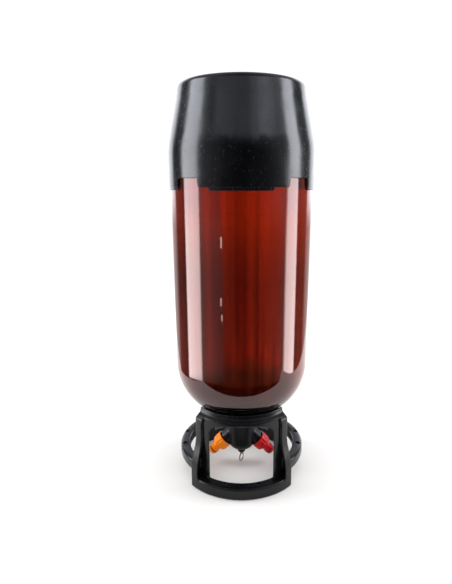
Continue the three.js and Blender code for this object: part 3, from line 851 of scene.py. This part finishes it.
# ---------------------------------------------------------------- valve caps
def valve_cap(colour, side, material):
    disk = CAP_END - 2.4
    skirt = [(15.6, CAP_MOUTH, 0.5), (15.9, CAP_MOUTH + 1.4, 0.3), (15.9, CAP_MOUTH + 2.4, 0),
             (15.7, CAP_END - 4.2, 0), (15.6, disk, 0.5), (14.6, CAP_END, 1.1), (9.7, CAP_END, 1.0)]
    post = [(9.7, 66.2, 0.5), (8.2, 67.2, 0.4), (8.2, 70.6, 0.4), (9.5, 71.6, 0.4), (9.5, 75, 0.35),
            (8.9, 75.4, 0.1), (7.4, 75.4, 0.2), (7.4, 77.9, 0.2), (POST_R, 77.9, 0.3), (POST_R, 81.4, 0.6),
            (7.2, POST_TIP, 0.6), (3.6, POST_TIP, 0.3), (3.6, 81.3, 0.2), (5.6, 80.6, 0.2), (5.6, 63.2, 0.2)]
    barb = [(2.4, 63.2, 0.2), (2.4, 46.5, 0.2), (3.6, 46.5, 0.2), (4.3, 50.5, 0.2), (3.7, 50.7, 0.1),
            (4.3, 54.5, 0.2), (3.7, 54.7, 0.1)]
    lining = [(3.7, disk, 0.3), (14.1, disk, 0.4), (14.1, CAP_MOUTH, 0.3)]
    outline = rounded(skirt + post + barb + lining, 4)

    def fluted(r, z, angle):
        if r > 15.0 and CAP_MOUTH + 2.3 < z < CAP_END - 2.3:
            groove = (0.5 + 0.5 * math.cos(FLUTES * angle)) ** 3
            return r - FLUTE_DEPTH * groove, z
        return r, z

    cap = smooth(onto_port(lathe(f"{colour}_cap_shell", outline, 288, fluted), side), 50)
    body = f"{colour}_cap"
    put(cap, body, f"{colour}_plastic", material, f"{colour}_valve_cap")
    washer = rounded([(9.2, ARM_END + 0.3, 0.3), (13.4, ARM_END + 0.3, 0.3), (13.4, disk - 0.3, 0.3),
                      (9.2, disk - 0.3, 0.3)], 3)
    washer_ring = smooth(onto_port(lathe(f"{colour}_washer_ring", washer, 80), side), 60)
    put(washer_ring, f"{colour}_washer", "rubber_black", RUBBER, f"{colour}_cap_washer")
    oring = sweep(f"{colour}_oring", ring_wire(ORING_R, ORING_AT, 96), ORING_WIRE_R, 16, closed=True)
    put(smooth_wire(onto_port(oring, side)), body, "rubber_black", RUBBER, f"{colour}_post_oring")
    poppet = rounded([(0, 66.8, 0), (1.5, 66.8, 0.4), (1.5, 76.6, 0.3), (4.9, 76.6, 0.4), (4.9, 80, 0.4),
                      (2.9, 80.9, 0.4), (2.9, 82.6, 0.3), (2.2, 83, 0.3), (0, 83, 0)], 4)
    pin = smooth(onto_port(lathe(f"{colour}_poppet_pin", poppet, 64), side), 50)
    put(pin, f"{colour}_poppet", f"{colour}_plastic", material, f"{colour}_poppet")
    spring = sweep(f"{colour}_spring_coil", helix(4, *POST_SPRING, SPRING_TURNS, 32), SPRING_WIRE_R, 10)
    coil = put(smooth_wire(onto_port(spring, side)), body, "steel", STEEL, f"{colour}_poppet_spring")
    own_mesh(coil)


# ---------------------------------------------------------------- relief valve
def stand_up(obj, z, turn):
    """Stands a flat ring on edge, centred on the axis, and turns it by an angle in degrees."""
    upright = Matrix.Rotation(90 * RAD, 4, "X")
    obj.data.transform(Matrix.Translation((0, 0, z * MM)) @ Matrix.Rotation(turn * RAD, 4, "Z") @ upright)


def relief_body():
    top = HUB_LOW_Z - 0.3

    def hexagonal(r, z, angle):
        if r > 8.2 and 29.1 < z < top - 1.1:
            a = (angle % (math.pi / 3)) - math.pi / 6
            return min(r, HEX_FLAT / math.cos(a)), z
        return r, z

    body = rounded([(8.2, top, 0.5), (8.3, top - 1.2, 0), (8.3, 29.2, 0), (8.1, 28.4, 0.5), (7.6, 25.5, 0.4),
                    (5.1, 25.5, 0.3), (5.1, 49.4, 0.3), (2.6, 49.4, 0.2), (2.6, 52, 0.3), (6.2, 52, 0.6),
                    (6.2, top, 0.2)], 4)
    shell = smooth(lathe("relief_body_shell", body, 180, hexagonal), 40)
    put(shell, "hub", "cap_black", CAP_BLACK, "relief_valve_body")
    collar = rounded([(1.9, 22.8, 0.3), (5.6, 22.8, 0.5), (6.4, 23.8, 0.5), (6.4, 25.2, 0.4),
                      (4.8, 25.2, 0.2), (4.8, 29, 0.3), (1.9, 29, 0.3)], 4)
    ring = smooth(lathe("relief_collar_ring", collar, 96), 50)
    put(ring, "hub", "green_plastic", GREEN, "relief_valve_collar")


def relief_stem():
    rod = rounded([(0, 21.4, 0), (1.4, 21.4, 0.2), (1.4, 44.6, 0.2), (4.7, 44.6, 0.4), (4.7, 47.2, 0.4),
                   (2, 47.2, 0.2), (2, 48.9, 0.4), (0, 48.9, 0)], 4)
    stem = lathe("relief_stem_rod", rod, 64)
    eye = sweep("eye", ring_wire(EYE_R, 0, 40), EYE_WIRE_R, 14, closed=True)
    stand_up(eye, EYE_Z, EYE_TURN)
    combine(stem, eye, "UNION")
    put(smooth(stem, 50), "relief_stem", "steel", STEEL, "relief_valve_stem")
    seal = sweep("relief_seal_ring", ring_wire(3.35, 48.3, 64), 0.9, 14, closed=True)
    put(smooth_wire(seal), "relief_stem", "rubber_black", RUBBER, "relief_valve_seal")
    spring = sweep("relief_spring_coil", helix(3.2, *RELIEF_SPRING, SPRING_TURNS, 32), SPRING_WIRE_R, 10)
    coil = put(smooth_wire(spring), "hub", "steel", STEEL, "relief_valve_spring")
    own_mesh(coil)


def pull_ring():
    """A split ring of nearly two turns, whose wires lie side by side."""
    low, high = box_mm("pull_ring")
    ring_r = (high[2] - low[2]) / 2 - 0.7
    loops = helix(ring_r, -0.75, 0.75, PULL_RING_LOOPS, 72)
    pull = sweep("split_ring", loops, PULL_RING_WIRE_R, 12)
    stand_up(pull, (low[2] + high[2]) / 2, PULL_RING_TURN)
    put(smooth_wire(pull), "pull_ring", "steel", STEEL, "pull_ring")


# ---------------------------------------------------------------- stage, lights and camera
# What a glossy surface reflects, as pairs of an angle from the front and a level, for four tiers of the room.
ROOM_LOW = (
    (-180, 0.8), (-135, 0.7), (-130, 0.1), (-104, 0.1), (-101.5, 8.0), (-72.5, 8.0), (-69, 0.7),
    (-60, 0.4), (-50, 0.36), (-36, 0.3), (-27, 0.06), (0, 0.01), (25, 0.02), (40, 0.06), (60, 0.12),
    (74, 0.4), (79, 8.0), (99.5, 8.0), (102, 0.1), (129, 0.1), (134, 0.6), (180, 0.8))
ROOM_LEVEL = (
    (-180, 1.0), (-150, 2.2), (-135, 2.2), (-130, 0.14), (-104, 0.14), (-101.5, 7.6), (-72.5, 7.6),
    (-69, 0.7), (-60, 0.34), (-50, 0.28), (-36, 0.2), (-27, 0.05), (0, 0.01), (25, 0.03), (40, 0.12),
    (60, 0.32), (75, 0.6), (79.5, 8.0), (99.5, 8.0), (102, 0.2), (129, 0.2), (134, 2.4), (150, 2.4),
    (180, 1.0))
ROOM_HIGH = (
    (-180, 0.8), (-150, 2.0), (-132.5, 2.0), (-128, 0.22), (-104, 0.22), (-101.5, 7.4), (-72.5, 7.4),
    (-69, 1.1), (-57, 0.5), (-50, 0.5), (-42, 1.1), (-25, 0.9), (0, 0.75), (12, 0.8), (22, 1.4),
    (40, 2.2), (58, 1.6), (74, 0.9), (79.5, 7.6), (99.5, 7.6), (102, 0.3), (127, 0.3), (131.5, 2.2),
    (150, 2.2), (180, 0.8))
ROOM_TOP = (
    (-180, 0.6), (-120, 0.6), (-80, 0.8), (-40, 0.3), (0, 0.25), (40, 0.3), (80, 0.8), (120, 0.6),
    (180, 0.6))
ROOM_PEAK = 8.0
ROOM_R = 20.0
# the elevations, in degrees, over which one tier gives way to the next
LEVEL_FROM = (-4, 1)
HIGH_FROM = (21, 28)
TOP_FROM = (34, 39)
FLOOR_BELOW = (-25.5, -22.5)
FLOOR_LEVEL = 0.004
HIGH_EDGE_RAGGED = 0.45

# small lamps, in metres: how far and wide they are, then each one's angle, height and length
WINDOW_FAR = 3.0
WINDOW_HALF_W = 0.06
WINDOWS = ((-32, 0.14, 0.09), (-33, -0.37, 0.07), (-31.8, -0.51, 0.05))

# floor and camera, in metres and degrees
FLOOR_HALF = 8
REFLECTED_X = (-0.5, 0.6)
REFLECTED_Y = (-0.27, 3)
CAMERA_PLACE = (0, -0.8256, 0.5364)
CAMERA_PITCH = 13.1
LENS = 28.8
LENS_SHIFT = -0.0265


def floor_material():
    """Pale everywhere, with painted shade: the floor colour is a little greyer under the object, where its
    soft shadow falls.
    """
    n = Nodes("floor")
    length = n.tree.nodes.new("ShaderNodeVectorMath")
    length.operation = "LENGTH"
    n.link(n.place, length.inputs[0])
    # painted shade: the floor colour greys towards the object
    away = n.remap(length.outputs["Value"], 0.12, 0.42, 0, 1)
    n.link(n.mix(away, (0.73, 0.72, 0.715), (0.98, 0.98, 0.98)), n.bsdf.inputs["Base Color"])
    n.bsdf.inputs["Roughness"].default_value = 0.7
    n.bsdf.inputs["Specular IOR Level"].default_value = 0
    return n.material


def only_seen_by(obj, *rays):
    for kind in ("camera", "diffuse", "glossy", "transmission", "volume_scatter", "shadow"):
        setattr(obj, "visible_" + kind, kind in rays)


def around(n, position, levels, tint):
    """Brightness by direction, from pairs of an angle and a level, times a tint."""
    ramp = n.tree.nodes.new("ShaderNodeValToRGB")
    stops = ramp.color_ramp.elements
    while len(stops) < len(levels):
        stops.new(0.5)
    for stop, (angle, level) in zip(stops, levels):
        stop.position = (angle + 180) / 360
        value = level / ROOM_PEAK
        stop.color = (value, value, value, 1)
    n.link(position, ramp.inputs["Fac"])
    return n.mix(1.0, ramp.outputs["Color"], tint, "MULTIPLY")


def sines(angles):
    return [math.sin(angle * RAD) for angle in angles]


def room_glow():
    """Light by direction: four tiers that change with the angle round the room, one above the other."""
    n = Nodes("room")
    n.tree.nodes.remove(n.bsdf)
    x, y, z = n.split()
    turn = n.maths("ARCTAN2", x, n.product(y, -1.0))
    position = n.total(n.product(turn, 0.5 / math.pi), 0.5)
    height = n.maths("DIVIDE", z, ROOM_R)
    ragged = n.total(height, n.product(n.maths("SUBTRACT", n.noise(0.55, 3, 0.5), 0.5), HIGH_EDGE_RAGGED))
    low = around(n, position, ROOM_LOW, (1.1, 1.03, 1.03))
    level = around(n, position, ROOM_LEVEL, (0.95, 0.975, 1.03))
    high = around(n, position, ROOM_HIGH, (0.94, 0.97, 1.08))
    top = around(n, position, ROOM_TOP, (1.0, 1.0, 1.0))
    wall = n.mix(n.soft_step(height, *sines(LEVEL_FROM)), low, level)
    wall = n.mix(n.soft_step(ragged, *sines(HIGH_FROM)), wall, high)
    wall = n.mix(n.soft_step(height, *sines(TOP_FROM)), wall, top)
    shade = n.maths("MAXIMUM", n.soft_step(height, *sines(FLOOR_BELOW)), FLOOR_LEVEL)
    glow = n.tree.nodes.new("ShaderNodeEmission")
    n.link(wall, glow.inputs["Color"])
    n.link(n.product(shade, ROOM_PEAK), glow.inputs["Strength"])
    n.link(glow.outputs[0], n.tree.nodes["Material Output"].inputs["Surface"])
    n.material.cycles.emission_sampling = "NONE"
    return n.material


def room():
    """What the glossy surfaces reflect: a dim studio with two tall softboxes and a white wall behind."""
    bpy.ops.mesh.primitive_uv_sphere_add(segments=96, ring_count=48, radius=ROOM_R)
    dome = bpy.context.object
    dome.name = "room"
    dome.data.materials.append(room_glow())
    only_seen_by(dome, "glossy")


def window_lights():
    """Three small lamps that show as short glints on the bottle's front."""
    glow = bpy.data.materials.new("window_light")
    glow.use_nodes = True
    bsdf = glow.node_tree.nodes["Principled BSDF"]
    bsdf.inputs["Base Color"].default_value = (0, 0, 0, 1)
    bsdf.inputs["Emission Color"].default_value = (1, 0.98, 0.95, 1)
    bsdf.inputs["Emission Strength"].default_value = 7.0
    glow.cycles.emission_sampling = "NONE"
    for i, (turn, height, tall) in enumerate(WINDOWS):
        side, up = WINDOW_HALF_W / MM, tall / 2 / MM
        corners = [(-side, 0, -up), (side, 0, -up), (side, 0, up), (-side, 0, up)]
        obj = new_object(f"window_light_{i + 1}", corners, [(0, 1, 2, 3)])
        obj.location = (WINDOW_FAR * math.sin(turn * RAD), -WINDOW_FAR * math.cos(turn * RAD), height)
        obj.rotation_euler = (0, 0, turn * RAD)
        obj.data.materials.append(glow)
        only_seen_by(obj, "glossy")


def floor_card(name, x, y, z, material):
    """A flat sheet between two X and two Y values, all in metres."""
    corners = [(x[0], y[0]), (x[1], y[0]), (x[1], y[1]), (x[0], y[1])]
    obj = new_object(name, [(cx / MM, cy / MM, z / MM) for cx, cy in corners], [(0, 1, 2, 3)])
    obj.data.materials.append(material)
    return obj


def softbox(name, place, size, energy, aim):
    lamp = bpy.data.lights.new(name, "AREA")
    lamp.shape = "RECTANGLE"
    lamp.size, lamp.size_y = size
    lamp.energy = energy
    obj = bpy.data.objects.new(name, lamp)
    obj.location = place
    obj.rotation_euler = (Vector(aim) - Vector(place)).to_track_quat("-Z", "Y").to_euler()
    obj.visible_glossy = False
    obj.visible_transmission = False
    scene.collection.objects.link(obj)


def stage():
    white = floor_material()
    floor = floor_card("floor", (-FLOOR_HALF, FLOOR_HALF), (-FLOOR_HALF, FLOOR_HALF), 0, white)
    floor.visible_glossy = False
    sheet = floor_card("floor_in_reflections", REFLECTED_X, REFLECTED_Y, 0.0003, white)
    only_seen_by(sheet, "glossy")
    world = bpy.data.worlds.new("studio")
    world.use_nodes = True
    world.node_tree.nodes["Background"].inputs["Color"].default_value = (1, 1, 1, 1)
    world.node_tree.nodes["Background"].inputs["Strength"].default_value = 1.06
    scene.world = world
    room()
    window_lights()
    softbox("left_softbox", (-1.25, 0.2, 0.9), (0.7, 1.8), 16, (0, 0, 0.5))
    softbox("right_softbox", (1.25, 0.2, 0.9), (0.7, 1.8), 16, (0, 0, 0.5))
    softbox("top_softbox", (0, -0.2, 2.2), (1.2, 1.2), 8, (0, 0, 0))


def camera():
    data = bpy.data.cameras.new("camera")
    data.sensor_width = 36
    data.lens = LENS
    data.shift_x = LENS_SHIFT
    obj = bpy.data.objects.new("camera", data)
    obj.location = CAMERA_PLACE
    obj.rotation_euler = ((90 - CAMERA_PITCH) * RAD, 0, 0)
    scene.collection.objects.link(obj)
    scene.camera = obj
    scene.view_settings.view_transform = "Standard"


camera()
stage()
bottle()
base_cup()
stand()
stand_screws()
cap_ring()
cap_seal()
port_hub()
valve_cap("orange", -1, ORANGE)
valve_cap("red", 1, RED)
relief_body()
relief_stem()
pull_ring()
